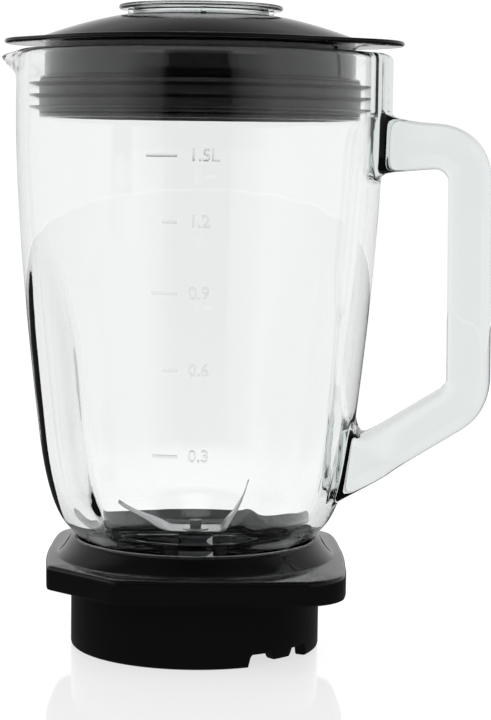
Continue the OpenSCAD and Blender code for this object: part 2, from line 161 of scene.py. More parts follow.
# Outside and inside lines, from the neck's foot up: neck, shoulder, hip, long taper, mouth
outer_r = reader(
    rounded_line([(neck_r, 10), (neck_r, 37), (50.4, 47.4)], [3.0])[:-1]
    + bend_line((49.6, 46.7), (56.9, 55.2), (60, 82), 12)
    + bend_line((60, 82), (jug_r, 158), (jug_r, 200), 16)[1:]
    + [(jug_r, 240)]
)
inner_r = reader(
    rounded_line([(35, 10), (35, 38), (46.5, 50.2)], [3.0])[:-1]
    + bend_line((46.0, 49.8), (52.4, 57.5), (55.5, 82), 12)
    + bend_line((55.5, 82), (jug_r - wall, 158), (jug_r - wall, 200), 16)[1:]
    + [(jug_r - wall, 240)]
)


def fluted(base, turn, z):
    """The wall's radius with the four flutes pressed in: shallow hollows with round tops."""
    away = min(abs(math.remainder(turn - f, math.tau)) for f in flute_turns)
    across = away * base / flute_half
    above = max(0.0, z - flute_taper_z) / (flute_top_z - flute_taper_z)
    return base - flute_deep * smooth(44, 62, z) * max(0.0, 1 - across**2 - above**2) ** 1.5


def spout_share(turn):
    """How much of the spout's reach there is at an angle: all of it at the middle, soft sides."""
    away = abs(math.remainder(turn - math.pi, math.tau))
    return math.exp(-((away / math.radians(11.5)) ** 2.6))


def mouth_shift(turn, z):
    """How far the wall leans out into the spout."""
    return spout_share(turn) * spout_reach * smooth(214.5, 223.5, z)


def strap_shift(turn, z):
    """The band that thickens the outside between the rim and the handle."""
    away = abs(math.remainder(turn, math.tau))
    return strap_t * (1 - smooth(math.radians(8.5), math.radians(12.5), away)) * smooth(180, 186, z)


def thread_shift(turn, z):
    """The neck's screw ridge: one turn of a right-hand helix, fading out at both ends."""
    turn %= math.tau
    best = 0.0
    for lap in (0, 1):
        along = turn + lap * math.tau
        if along <= math.tau * 1.02:
            off = abs(z - (26 + thread_pitch * along / math.tau))
            fade = min(smooth(0, 0.25, along), 1 - smooth(math.tau * 0.97, math.tau * 1.02, along))
            best = max(best, ridge_depth * fade * (1 - smooth(0.8, 1.7, off)))
    return best


def outside(turn, z):
    """The outer face's radius, with everything that is pressed into it or stands on it."""
    base = fluted(outer_r(z), turn, z)
    return base + mouth_shift(turn, z) + strap_shift(turn, z) + thread_shift(turn, z)


def inside(turn, z):
    """The inner face's radius, which follows the flutes and the spout only."""
    return fluted(inner_r(z), turn, z) + mouth_shift(turn, z)


def spread(low, high, count):
    """Even steps from low up to, but not with, high."""
    return [low + (high - low) * i / count for i in range(count)]


jug_steps = 192
# the two openings in the mesh where the handle's bar grows out of the wall
patch_half = 5
patch_rows = 8
outer_z = (
    spread(neck_low_z, 37, 16)
    + spread(37, 57.5, 14)
    + spread(57.5, 87.5, patch_rows)
    + spread(87.5, 181.5, 32)
    + spread(181.5, 202, patch_rows)
    + spread(202, rim_z - lip_half, 11)
)
low_patch = 30
high_patch = low_patch + patch_rows + 32
inner_z = (
    spread(rim_z - lip_half, 202, 10)
    + spread(202, 60, 40)
    + spread(60, 38, 14)
    + spread(38, neck_low_z, 8)
    + [neck_low_z]
)
jug_verts = []
jug_turns = [math.tau * i / jug_steps for i in range(jug_steps)]
for z in outer_z:
    for turn in jug_turns:
        r = outside(turn, z)
        jug_verts.append((r * math.cos(turn), r * math.sin(turn), z))
rim_steps = 9
for k in range(rim_steps):
    swing = math.pi * k / (rim_steps - 1)
    for turn in jug_turns:
        low = rim_z - lip_half
        out_r, in_r = outside(turn, low), inside(turn, low)
        r = (out_r + in_r) / 2 + (out_r - in_r) / 2 * math.cos(swing)
        lift = lip_half * math.sin(swing)
        lift -= lip_dip * spout_share(turn) * math.sin(swing / 2) ** 0.5
        jug_verts.append((r * math.cos(turn), r * math.sin(turn), low + lift))
for z in inner_z[1:]:
    for turn in jug_turns:
        r = inside(turn, z)
        jug_verts.append((r * math.cos(turn), r * math.sin(turn), z))
jug_rows = len(jug_verts) // jug_steps


def jug_index(row, column):
    """Where a point stands in the list, by its row and its place round the jug."""
    return (row % jug_rows) * jug_steps + column % jug_steps


def in_patch(row, column):
    """Whether a face lies in one of the two openings for the handle."""
    near = -patch_half <= (column + jug_steps // 2) % jug_steps - jug_steps // 2 < patch_half
    return near and any(a <= row < a + patch_rows for a in (low_patch, high_patch))


jug_faces = [
    (
        jug_index(row, column),
        jug_index(row, column + 1),
        jug_index(row + 1, column + 1),
        jug_index(row + 1, column),
    )
    for row in range(jug_rows)
    for column in range(jug_steps)
    if not in_patch(row, column)
]

# The handle's bar: square-shouldered sections swept along a bent line, flared at both roots
handle_line = rounded_line([(66, 191.4), (101.9, 191.4), (103.2, 97.6), (54, 66.2)], [12.5, 14], 9)
ring_plan = (
    [(-1 + k / patch_half, -1) for k in range(2 * patch_half)]
    + [(1, -1 + 2 * k / patch_rows) for k in range(patch_rows)]
    + [(1 - k / patch_half, 1) for k in range(2 * patch_half)]
    + [(-1, 1 - 2 * k / patch_rows) for k in range(patch_rows)]
)


def along_line(points, gap):
    """Points spaced evenly along a line."""
    out = []
    for a, b in zip(points, points[1:]):
        a, b = Vector(a), Vector(b)
        count = max(1, round((b - a).length / gap))
        out += [tuple(a.lerp(b, i / count)) for i in range(count)]
    return out + [tuple(points[-1])]


root_x_high = 76.5
root_x_low = 66.5
bar_half_t = 8.5
bar_half_w = 10.6
corner_power = 4.5
root_flare = (0.10, 0.03, 0.0)
stations = [
    p for p in along_line(handle_line, 5.0) if p[0] > (root_x_high if p[1] > 150 else root_x_low)
]
first_ring = len(jug_verts)
for i, (x, z) in enumerate(stations):
    a, b = stations[max(0, i - 1)], stations[min(len(stations) - 1, i + 1)]
    ahead = Vector((b[0] - a[0], b[1] - a[1])).normalized()
    aside = Vector((-ahead[1], ahead[0]))
    root = min(i, len(stations) - 1 - i)
    flare = 1 + root_flare[min(root, 2)]
    grip = smooth(96, 102, x) * smooth(190, 180, z) * smooth(95, 105, z)
    half_t = (bar_half_t - 0.5 * grip) * flare
    half_w = (bar_half_w - 0.2 * grip) * flare
    for u, v in ring_plan:
        soft = (abs(u) ** corner_power + abs(v) ** corner_power) ** (1 / corner_power)
        jug_verts.append(
            (x + aside[0] * v / soft * half_t, u / soft * half_w, z + aside[1] * v / soft * half_t)
        )


def patch_ring(row, up):
    """The body's points round the place where an arm joins, in the order of ring_plan."""
    return [
        jug_index(row + round((1 + v * up) / 2 * patch_rows), round(u * patch_half))
        for u, v in ring_plan
    ]


bar_rings = [
    [first_ring + i * len(ring_plan) + k for k in range(len(ring_plan))]
    for i in range(len(stations))
]
bar_rings = [patch_ring(high_patch, 1)] + bar_rings + [patch_ring(low_patch, -1)]
for ring, following in zip(bar_rings, bar_rings[1:]):
    for k in range(len(ring)):
        n = (k + 1) % len(ring)
        jug_faces.append((ring[k], ring[n], following[n], following[k]))
used = sorted({i for face in jug_faces for i in face})
place = {old: new for new, old in enumerate(used)}
jug = skin(
    "glass_jug",
    [jug_verts[i] for i in used],
    [tuple(place[i] for i in face) for face in jug_faces],
    sharp=180,
)
jug.modifiers.new("soft moulded edges", "SUBSURF").render_levels = 1
jug.modifiers[0].levels = 1


def linear(code):
    """A sRGB hex colour as linear red, green, blue and alpha."""
    parts = [int(code[i : i + 2], 16) / 255 for i in (1, 3, 5)]
    return tuple(c / 12.92 if c <= 0.04045 else ((c + 0.055) / 1.055) ** 2.4 for c in parts) + (1,)


def add_node(tree, kind, values=None, links=None):
    """Adds a node, gives its sockets or settings their values, and links its inputs."""
    made = tree.nodes.new(kind)
    for key, value in (values or {}).items():
        if isinstance(key, int) or key in made.inputs:
            made.inputs[key].default_value = value
        else:
            setattr(made, key, value)
    for key, (source, output) in (links or {}).items():
        tree.links.new(source.outputs[output], made.inputs[key])
    return made


def finish_of(name, values):
    """A new material with one shader, its constants set on the shader itself."""
    made = bpy.data.materials.new(name)
    made.use_nodes = True
    tree = made.node_tree
    tree.nodes.clear()
    shader = add_node(tree, "ShaderNodeBsdfPrincipled", values)
    add_node(tree, "ShaderNodeOutputMaterial", links={"Surface": (shader, "BSDF")})
    return made, tree, shader


def ripple(tree, shader, size_mm, height_mm, stretch, detail):
    """A soft unevenness of the surface, a given size across and height."""
    where = add_node(tree, "ShaderNodeTexCoord")
    spot = add_node(
        tree, "ShaderNodeMapping", {"Scale": stretch}, {"Vector": (where, "Object")}
    )
    noise = add_node(
        tree,
        "ShaderNodeTexNoise",
        {"Scale": 1000 / size_mm, "Detail": detail},
        {"Vector": (spot, "Vector")},
    )
    bump = add_node(
        tree,
        "ShaderNodeBump",
        {"Strength": 1.0, "Distance": height_mm * MM},
        {"Height": (noise, "Fac")},
    )
    tree.links.new(bump.outputs["Normal"], shader.inputs["Normal"])


def grained(name, values, size_mm, height_mm, stretch=(1, 1, 1), detail=2.0):
    """A finish with such an unevenness all over it."""
    made, tree, shader = finish_of(name, values)
    ripple(tree, shader, size_mm, height_mm, stretch, detail)
    return made


# Soda-lime glass, pressed and fire polished: clear, slightly grey where it is thick, with the
# slow waves of the mould
glass, glass_tree, glass_shader = finish_of(
    "pressed_glass",
    {
        "Base Color": linear("#ffffff"),
        "Roughness": 0.0,
        "IOR": 1.5,
        "Transmission Weight": 1.0,
    },
)
ripple(glass_tree, glass_shader, 22, 0.05, (1, 1, 1), 2.0)
depth = add_node(
    glass_tree, "ShaderNodeVolumeAbsorption", {"Color": linear("#e2e7e6"), "Density": 48.0}
)
glass_tree.links.new(
    depth.outputs["Volume"], glass_tree.nodes["Material Output"].inputs["Volume"]
)
jug.data.materials.append(glass)
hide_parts("jug")
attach(jug, "jug")

# ---------------------------------------------------------------------------
# Capacity marks: lines and plain figures for the litres, moulded on the jug's front in the
# same glass. The lines stand an eighth of a millimetre proud, the figures a little more.
# ---------------------------------------------------------------------------
mark_heights = {"1.5L": 187.2, "1.2": 164.1, "0.9": 139.0, "0.6": 111.5, "0.3": 80.4}
mark_lines = {"1.5L": 11.0, "1.2": 5.2, "0.9": 9.0, "0.6": 5.2, "0.3": 9.0}
mark_right = math.radians(-86.3)
figures_left = math.radians(-82.8)
mark_proud = 0.12
mark_root = -0.05
mark_half = 0.62
mark_top = mark_half * 0.3
mark_cells = 12
figure_size = 6.2
figure_rise = 0.35
figure_edge = 0.12
# the figures are flattened on to the glass, and lifted a hair clear of it
figure_flat = 0.7
figure_clear = 0.02


def wrap_onto_jug(x, y, lift, start, z0):
    """A point of a flat drawing in millimetres, bent round the jug from an angle and height."""
    z = z0 + y
    r = outer_r(z)
    turn = start + x / r
    return ((r + lift) * math.cos(turn), (r + lift) * math.sin(turn), z)


mark_verts, mark_faces = [], []
for label, height in mark_heights.items():
    first = len(mark_verts)
    for i in range(mark_cells + 1):
        x = -mark_lines[label] * i / mark_cells
        for y, lift in (
            (-mark_half, mark_root), (-mark_top, mark_proud), (mark_top, mark_proud), (mark_half, mark_root)
        ):
            mark_verts.append(wrap_onto_jug(x, y, lift, mark_right, height))
    for i in range(mark_cells):
        for j in range(4):
            a, b = first + 4 * i + j, first + 4 * i + (j + 1) % 4
            mark_faces.append((a, b, b + 4, a + 4))
    mark_faces.append(tuple(first + j for j in range(4)))
    mark_faces.append(tuple(first + 4 * mark_cells + 3 - j for j in range(4)))

    words = bpy.data.curves.new("figures " + label, "FONT")
    words.body = label
    words.size = figure_size
    words.extrude = figure_rise
    words.bevel_depth = figure_edge
    words.bevel_resolution = 1
    words.align_y = "CENTER"
    solid = bpy.data.objects.new("figures " + label, words)
    bpy.context.scene.collection.objects.link(solid)
    cut = bpy.data.meshes.new_from_object(solid)
    first = len(mark_verts)
    mark_verts += [
        wrap_onto_jug(v.co.x, v.co.y, v.co.z * figure_flat + figure_clear, figures_left, height)
        for v in cut.vertices
    ]
    mark_faces += [tuple(first + i for i in p.vertices) for p in cut.polygons]
    bpy.data.objects.remove(solid)
marks = skin("capacity_marks", mark_verts, mark_faces, sharp=40)
# The raised faces are a little matt from the mould, which scatters light and shows them pale
matt_glass = grained(
    "matt_pressed_glass",
    {"Base Color": linear("#ffffff"), "Roughness": 0.3, "IOR": 1.5, "Transmission Weight": 1.0},
    0.4,
    0.02,
)
marks.data.materials.append(matt_glass)
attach(marks, "jug")


# ---------------------------------------------------------------------------
# Lid: gloss black polypropylene, moulded in one piece. A dome round the cap's hole, a thin
# plate drawn out over the spout and into a thumb tab, and a plug that hangs inside the mouth.
# ---------------------------------------------------------------------------
def ring_stack(name, rows, steps=144, sharp=32, closed=True):
    """Skins rows of points round the axis. Each row is (radius, height), or a function of the
    angle that gives them. A closed stack joins its last row to its first."""
    verts = []
    for row in rows:
        for i in range(steps):
            turn = math.tau * i / steps
            r, z = row(turn) if callable(row) else row
            verts.append((r * math.cos(turn), r * math.sin(turn), z))
    count = len(rows)
    faces = [
        (
            row * steps + i,
            row * steps + (i + 1) % steps,
            (row + 1) % count * steps + (i + 1) % steps,
            (row + 1) % count * steps + i,
        )
        for row in range(count if closed else count - 1)
        for i in range(steps)
    ]
    if not closed:
        faces.append(tuple(range(steps)))
        faces.append(tuple((count - 1) * steps + i for i in reversed(range(steps))))
    return skin(name, verts, faces, sharp)


def rounded_ring(points, radii, steps=4):
    """A closed line with each corner rounded, for a ring's section."""
    whole = [points[-1]] + list(points) + [points[0]]
    return rounded_line(whole, radii, steps)[1:-1]


plate_low = 228.0
plate_high = 229.9
lip_r = 61.5
lobe_r = 30.0
tab_reach = 76.7
cover_reach = 75.0
plug_r = 58.5
plug_low = 200.3
dome_top = 239.1
hole_r = 26.2


def plate_reach(turn):
    """The plate's edge at an angle: a disc with two round lobes, joined by straight sides."""
    turn = math.remainder(turn, math.tau)
    reach = tab_reach if abs(turn) < math.pi / 2 else cover_reach
    away = abs(turn) if abs(turn) < math.pi / 2 else math.pi - abs(turn)
    centre = reach - lobe_r
    side = math.acos((lip_r - lobe_r) / centre)
    joint = math.atan2(lobe_r * math.sin(side), centre + lobe_r * math.cos(side))
    if away >= side:
        return lip_r
    if away >= joint:
        return lip_r / math.cos(side - away)
    return centre * math.cos(away) + math.sqrt(lobe_r**2 - (centre * math.sin(away)) ** 2)


def plate_row(inset, z):
    """A row of points that follows the plate's edge at an inset."""
    return lambda turn: (plate_reach(turn) - inset, z)


def dome_line(drop):
    """The dome's line from the cap's hole out to the plate, a given drop below its top."""
    return bend_line(
        (hole_r + 1.2, dome_top - drop), (41, dome_top - 2.0 - drop), (59.4, 230.4 - drop), 14
    )


lid_rows = (
    [(hole_r, dome_top - 1.0), (hole_r + 0.35, dome_top - 0.3)]
    + dome_line(0)
    + [(60.2, 230.1), (60.8, plate_high), lambda t: (0.5 * (61 + plate_reach(t) - 0.8), plate_high)]
    + [plate_row(0.8, plate_high), plate_row(0.25, plate_high - 0.25), plate_row(0, plate_high - 0.8)]
    + [plate_row(0, plate_low + 0.8), plate_row(0.25, plate_low + 0.25), plate_row(0.8, plate_low)]
    + [lambda t: (0.5 * (60 + plate_reach(t) - 0.8), plate_low), (59.9, plate_low)]
    + [(59.2, plate_low - 0.3), (plug_r, plate_low - 1.2), (plug_r, 216.0)]
    + [(59.6, 215.6), (60.2, 215.2), (60.2, 214.6), (59.6, 214.4)]
    + [(plug_r, 214.4), (plug_r, 202.0), (60.2, 202.0), (60.5, 201.7), (60.5, 200.8), (60.0, plug_low)]
    + [(56.4, plug_low), (56.1, 200.6), (56.1, plate_low - 1)]
    + list(reversed(dome_line(2.4)[1:-1]))
    + [(28.6, dome_top - 3.4), (28.6, plate_low + 0.4), (28.2, plate_low)]
    + [(hole_r + 0.4, plate_low), (hole_r, plate_low + 0.4)]
)
lid = ring_stack("lid_moulding", lid_rows, steps=240, sharp=50)

# Polypropylene from a polished mould: deep black, with a soft-edged gloss and faint sink marks
black = grained(
    "gloss_polypropylene",
    {"Base Color": linear("#0a0a0b"), "Roughness": 0.09, "IOR": 1.49, "Specular IOR Level": 0.36},
    30,
    0.02,
)
lid.data.materials.append(black)
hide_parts("lid")
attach(lid, "lid")

# ---------------------------------------------------------------------------
# Lid seal: a soft black ring of moulded elastomer, stretched over the plug and held in its
# groove. Three thin fins reach the glass and grip it.
# ---------------------------------------------------------------------------
fin_heights = (203.8, 208.1, 212.4)
fin_reach = 64.25
seal_section = [(58.52, 202.1), (60.3, 202.1)]
seal_radii = [0.2, 0.4]
for z in fin_heights:
    seal_section += [(60.4, z - 0.7), (fin_reach, z + 0.25), (fin_reach, z + 0.6), (60.4, z + 0.5)]
    seal_radii += [0.6, 0.12, 0.12, 0.6]
seal_section += [(60.3, 214.3), (58.52, 214.3)]
seal_radii += [0.4, 0.2]
lid_seal = ring_stack("finned_lid_seal", rounded_ring(seal_section, seal_radii, 3), 192, 60)

# Thermoplastic elastomer from an eroded mould: black, with a fine grain and a dull sheen
rubber = grained(
    "moulded_elastomer",
    {"Base Color": linear("#18181a"), "Roughness": 0.42, "IOR": 1.45},
    0.8,
    0.02,
    detail=4,
)
lid_seal.data.materials.append(rubber)
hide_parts("lid_seal")
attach(lid_seal, "lid")

# ---------------------------------------------------------------------------
# Measuring cap: a clear moulded cup that hangs in the lid's hole, mouth down. Its closed top
# spreads into a disc to grip, and four small ribs under the disc rest on the dome.
# ---------------------------------------------------------------------------
cap_r = 25.6
cap_wall = 2.1
cap_foot = 211.9
cap_hub = 0.4
disc_dish = 0.35
disc_r = 30.8
disc_low = 240.9
disc_high = 242.8
cap_rows = rounded_line(
    [(cap_hub, disc_high - disc_dish), (disc_r - 3.2, disc_high - disc_dish),
     (disc_r - 2.4, disc_high), (disc_r, disc_high), (disc_r, disc_low), (cap_r, disc_low),
     (cap_r, cap_foot), (cap_r - cap_wall, cap_foot), (cap_r - cap_wall, disc_low),
     (cap_hub, disc_low)],
    [0.3, 0.3, 0.9, 0.9, 0.8, 0.6, 0.6, 1.5],
    5,
)
cap = ring_stack("clear_cap", cap_rows, 160, 40, closed=False)

# Clear copolyester from a polished mould: bright edges, with the slow waves of the flow
clear = grained(
    "clear_copolyester",
    {"Base Color": linear("#f3f6f6"), "Roughness": 0.02, "IOR": 1.54, "Transmission Weight": 1.0},
    18,
    0.03,
)
cap.data.materials.append(clear)
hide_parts("measuring_cap")
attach(cap, "cap")


def rounded_block(name, size, centre, turn, radius):
    """A block with rounded edges, in millimetres, turned about the axis after it is placed."""
    made = bmesh.new()
    bmesh.ops.create_cube(made, size=1)
    bmesh.ops.scale(made, vec=size, verts=made.verts)
    bmesh.ops.bevel(
        made, geom=made.edges[:], offset=radius, segments=3, affect="EDGES", profile=0.5
    )
    bmesh.ops.translate(made, vec=centre, verts=made.verts)
    bmesh.ops.rotate(made, cent=(0, 0, 0), matrix=Matrix.Rotation(turn, 3, "Z"), verts=made.verts)
    bmesh.ops.scale(made, vec=(MM, MM, MM), verts=made.verts)
    mesh = bpy.data.meshes.new(name)
    made.to_mesh(mesh)
    made.free()
    mesh.shade_smooth()
    obj = bpy.data.objects.new(name, mesh)
    bpy.context.scene.collection.objects.link(obj)
    return obj


for i in range(4):
    rib = rounded_block(
        f"cap_rib_{i + 1}", (1.8, 2.2, 1.9), (cap_r + 0.85, 0, 240.05),
        math.radians(12 + 90 * i), 0.35,
    )
    rib.data.materials.append(clear)
    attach(rib, "cap")

# ---------------------------------------------------------------------------
# Screw collar: gloss black, heavier moulding. A round skirt stands in the motor base, a
# hollow square plate gives the grip, and a cone leads up to a ring round the glass.
# ---------------------------------------------------------------------------
collar_turn = math.radians(10)
skirt_r = 47.6
skirt_high = 25.6
deck_z = 34.8
bore_r = 43.2
shelf_r = 33.6
ring_high = 42.0
plate_half = 57.6
plate_corner = plate_half - 3
chamfer = 25.0
notch_middles = (-46.5, 133.5)
notch_high = 4.6
tooth_gap = 1.8
bore_ridge = 2.5
ridge_from = math.radians(-250)
ridge_to = math.radians(218)
ridge_fade = math.radians(14)


def outline_reader(inset):
    """The plate's edge at an angle: bowed sides, round corners and one corner cut off."""
    m, c = plate_half - inset, plate_corner - inset
    g = chamfer - 0.6 * inset
    corners = [(m, 0), (c, c), (0, m), (-c, c), (-m, 0), (-c - 0.4, g - c), (g - c, -c - 0.4),
               (0, -m), (c, -c)]
    radii = [300, 17 - inset, 300, 17 - inset, 250, 3, 3, 250, 17 - inset]
    edge = rounded_ring(corners, radii, 8)
    by_turn = sorted((math.atan2(y, x), math.hypot(x, y)) for x, y in edge)
    by_turn = (
        [(by_turn[-1][0] - math.tau, by_turn[-1][1])]
        + by_turn
        + [(by_turn[0][0] + math.tau, by_turn[0][1])]
    )

    def read(turn):
        turn = math.remainder(turn - collar_turn, math.tau)
        for (a, ra), (b, rb) in zip(by_turn, by_turn[1:]):
            if a <= turn <= b:
                t = (turn - a) / max(1e-9, b - a)
                # a straight edge between two corners, read at this angle
                x = ra * math.cos(a) * (1 - t) + rb * math.cos(b) * t
                y = ra * math.sin(a) * (1 - t) + rb * math.sin(b) * t
                return math.hypot(x, y)
        return m

    return read


def edge_row(inset, z):
    """A row of points that follows the grip plate's edge at an inset."""
    read = outline_reader(inset)
    return lambda turn: (read(turn), z)


def foot_row(r, z):
    """A point of the skirt's foot, lifted where the two drive notches are cut."""

    def place(turn):
        local = math.degrees(math.remainder(turn - collar_turn, math.tau))
        for middle in notch_middles:
            away = abs(math.remainder(local - middle, 360))
            cut = notch_high * (1 - smooth(17.0, 18.6, away))
            # a tooth stands in the middle of each notch
            if away < 12:
                cut = min(cut, tooth_gap + (notch_high - tooth_gap) * smooth(5.0, 6.2, away))
            if away < 20:
                return (r, max(z, cut + (z if r > bore_r + 0.5 else 0) * 0.3))
        return (r, z)

    return place


def bore_row(z):
    """The bore's wall with its screw ridge, which runs between the turns of the jug's own."""

    def place(turn):
        depth = 0.0
        for lap in (-1, 0, 1):
            along = turn % math.tau + lap * math.tau
            if ridge_from <= along <= ridge_to:
                off = abs(z - (30 + thread_pitch * along / math.tau))
                fade = min(
                    smooth(ridge_from, ridge_from + ridge_fade, along),
                    1 - smooth(ridge_to - ridge_fade, ridge_to, along),
                )
                depth = max(depth, bore_ridge * fade * (1 - smooth(0.8, 1.7, off)))
        return (bore_r - depth, z)

    return place


collar_rows = (
    [foot_row(bore_r, 0.4), foot_row(bore_r + 0.4, 0), foot_row(skirt_r - 1.2, 0)]
    + [foot_row(skirt_r - 0.55, 0.16), foot_row(skirt_r - 0.16, 0.55), foot_row(skirt_r, 1.2)]
    + [(skirt_r, 6.5), (skirt_r, 14), (skirt_r, skirt_high - 0.4), (skirt_r - 0.9, skirt_high)]
    + [(skirt_r - 0.9, 31.4), (skirt_r - 0.5, 31.8)]
    + [edge_row(3.4, 31.8), edge_row(2.6, 31.0), edge_row(2.6, skirt_high + 0.3)]
    + [edge_row(2.3, skirt_high), edge_row(0.8, skirt_high), edge_row(0.25, skirt_high + 0.25)]
    + [edge_row(0, skirt_high + 0.8), edge_row(0, deck_z - 1.3), edge_row(0.12, deck_z - 0.8)]
    + [edge_row(0.4, deck_z - 0.38), edge_row(0.85, deck_z - 0.1), edge_row(1.4, deck_z)]
    + [(53.6, deck_z), (52.9, deck_z + 0.15), (52.3, deck_z + 0.7)]
    + [(50.4, 37.6), (48.5, 40.5), (48.0, 41.2), (47.5, 41.7), (46.8, ring_high)]
    + [(46.2, ring_high), (45.5, 41.7), (45.2, 41.0), (bore_r, 37)]
    + [bore_row(37 - 0.6 * k) for k in range(1, 26)]
    + [(bore_r, 19.6), (bore_r, 17.2), (bore_r - 0.2, 17.0), (shelf_r + 0.3, 17.0)]
    + [(shelf_r, 16.7), (shelf_r, 14.3), (shelf_r + 0.3, 14.0), (bore_r - 0.3, 14.0), (bore_r, 13.7)]
)
collar = ring_stack("screw_collar", collar_rows, steps=360, sharp=42)
collar.data.materials.append(black)
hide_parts("collar")
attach(collar, "base")
for i in range(12):
    web = rounded_block(
        f"collar_web_{i + 1}", (4.6, 1.8, 5.8), (skirt_r + 1.6, 0, 29.4),
        collar_turn + math.radians(30 * i), 0.3,
    )
    web.data.materials.append(black)
    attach(web, "base")

# ---------------------------------------------------------------------------
# Blade carrier: a shallow black dish clamped between the collar's shelf and the jug's foot.
# It is the floor of the jar, and the bearing housing is bolted through its middle.
# ---------------------------------------------------------------------------
carrier_section = [
    (8.1, 20.8), (13.5, 20.8), (14.5, 19.8), (30, 18.6), (33, 17), (42.5, 17), (42.5, 20.15),
    (34.2, 20.15), (34.2, 26.2), (32.6, 26.4), (28, 23.8), (22, 22.5), (16, 22.6), (13.5, 24.6),
    (8.1, 24.6),
]
carrier_radii = [0.2, 1, 2, 4, 1, 0.5, 0.5, 0.4, 0.7, 0.7, 8, 12, 3, 1, 0.2]
carrier = ring_stack("blade_dish", rounded_ring(carrier_section, carrier_radii, 5), 160, 50)
carrier.data.materials.append(black)
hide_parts("blade_carrier")
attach(carrier, "base")

# ---------------------------------------------------------------------------
# Blades: 1.6 mm stainless strip, blanked, bent and ground to an edge on one side. The upper
# one's wings rise, the lower one's fall, and the two stand a quarter turn apart.
# ---------------------------------------------------------------------------
blade_t = 1.6
blade_half_flat = 9.5
bevel_wide = 2.6
edge_half_t = 0.12
tip_wide = 1.6
bevel_face = 3

# Stainless strip, ground: a pale grey metal with fine scratches along the blade
steel = grained(
    "ground_stainless_steel",
    {"Base Color": linear("#a3a5a7"), "Metallic": 1.0, "Roughness": 0.26},
    0.5,
    0.006,
    (1, 0.08, 1),
    3,
)
# Nearly black steel with a dull shine. On the shaft, spacer and circlip it is the dark skin from the heat
# of hardening.
# On the lower blade's faces it is painted shade, because that blade is the same ground stainless as the
# upper one.
dark = grained(
    "blackened_steel_and_painted_shade",
    {"Base Color": linear("#3a3b3d"), "Metallic": 1.0, "Roughness": 0.35},
    0.6,
    0.006,
    detail=3,
)


def blade(name, node, z0, wing, rises, turn, half_w, face):
    """A blade skinned from cross-sections along its bent middle line."""
    angles = [math.radians(a) for a in rises]
    along = [1.0, 0.97, 0.9, 0.7, 0.45, 0.2, 0.06, 0]
    stops = [(1, f) for f in along] + [(0, f) for f in reversed(along)]
    verts, faces = [], []
    for side, f in stops:
        rise = angles[side]
        s = -1 if side == 1 else 1
        # the bend is rounded: near the flat middle the wing has only part of its rise
        x = s * (blade_half_flat + f * wing * math.cos(rise))
        z = z0 + blade_t / 2 + f * wing * math.sin(rise) * smooth(0, 0.12, f)
        lean = rise * (0.5 if f == 0 else 1)
        up = Vector((-s * math.sin(lean), 0, math.cos(lean)))
        # the back edge runs in to the tip, and the front edge is ground away at its end
        front = half_w - (max(0, f - 0.9) / 0.1) ** 2 * 1.2
        back = -half_w + smooth(0.0, 1.0, f) * 2 * half_w * 0.8
        if f > 0.96:
            back = front - tip_wide
        ground = smooth(0.02, 0.2, f)
        bevel = bevel_wide * ground
        thin = edge_half_t + (blade_t / 2 - edge_half_t) * (1 - ground)
        half_t = blade_t / 2 * (1 - 0.45 * smooth(0.0, 0.5, f))
        for y, lift in (
            (back, -half_t), (front - bevel, -half_t), (front, -half_t),
            (front, min(half_t, -half_t + 2 * thin)), (front - bevel, half_t), (back, half_t),
        ):
            verts.append(tuple(Vector((x, y * s, z)) + up * lift))
    count = 6
    # the two halves face opposite ways round, so at the middle their points pair up mirrored
    mirror = [2, 1, 0, 5, 4, 3]
    for i in range(len(stops) - 1):
        for j in range(count):
            a, b = i * count + j, i * count + (j + 1) % count
            if stops[i][0] == stops[i + 1][0]:
                faces.append((a, b, b + count, a + count))
            else:
                n = (i + 1) * count
                faces.append((a, b, n + mirror[(j + 1) % count], n + mirror[j]))
    faces.append(tuple(range(count)))
    faces.append(tuple((len(stops) - 1) * count + j for j in range(count)))
    obj = skin(name, verts, faces, sharp=20)
    obj.data.transform(Matrix.Rotation(turn, 4, "Z"))
    # the ground bevel is bright, whatever the face is
    obj.data.materials.append(face)
    obj.data.materials.append(steel)
    for number in range((len(stops) - 1) * count):
        if number % count == bevel_face:
            obj.data.polygons[number].material_index = 1
    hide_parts(node)
    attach(obj, "rotor")


blade("upper_blade_strip", "upper_blade", 41.2, 24.0, (34, 57), math.radians(190), 7.8, steel)
# The lower blade's faces get the near-black steel as painted shade, darkened where they look into the black
# dish. Its ground bevel stays plain steel.
blade("lower_blade_strip", "lower_blade", 38.6, 18.0, (-24, -24), math.radians(100), 6.6, dark)

# ---------------------------------------------------------------------------
# Bearing and shaft parts: the housing and its nut, bushes, seals, washers, shaft and coupling.
# Turned, punched, sintered or moulded, and stacked on the axis. They keep their own shape.
# ---------------------------------------------------------------------------
# Zinc plated steel: bright, slightly cloudy
plated = grained(
    "zinc_plated_steel",
    {"Base Color": linear("#b9bbbd"), "Metallic": 1.0, "Roughness": 0.3},
    0.4,
    0.004,
    detail=3,
)
# Aluminium, turned: pale, with fine rings round the axis
aluminium = grained(
    "turned_aluminium",
    {"Base Color": linear("#c9cbcd"), "Metallic": 1.0, "Roughness": 0.3},
    0.5,
    0.006,
    (0.1, 0.1, 1),
)
# Brass, machined: warm yellow, smooth
brass = grained(
    "machined_brass",
    {"Base Color": linear("#b99a5b"), "Metallic": 1.0, "Roughness": 0.28},
    0.5,
    0.005,
)
# Bronze, sintered: brown, dull, with the pores of the pressed powder
bronze = grained(
    "sintered_bronze",
    {"Base Color": linear("#a07a4a"), "Metallic": 1.0, "Roughness": 0.5},
    0.25,
    0.02,
    detail=5,
)
# Wool felt soaked in oil: dark, fibrous, without shine
felt = grained(
    "oiled_wool_felt",
    {"Base Color": linear("#5d574b"), "Roughness": 0.85, "Sheen Weight": 0.4},
    0.3,
    0.15,
    detail=6,
)
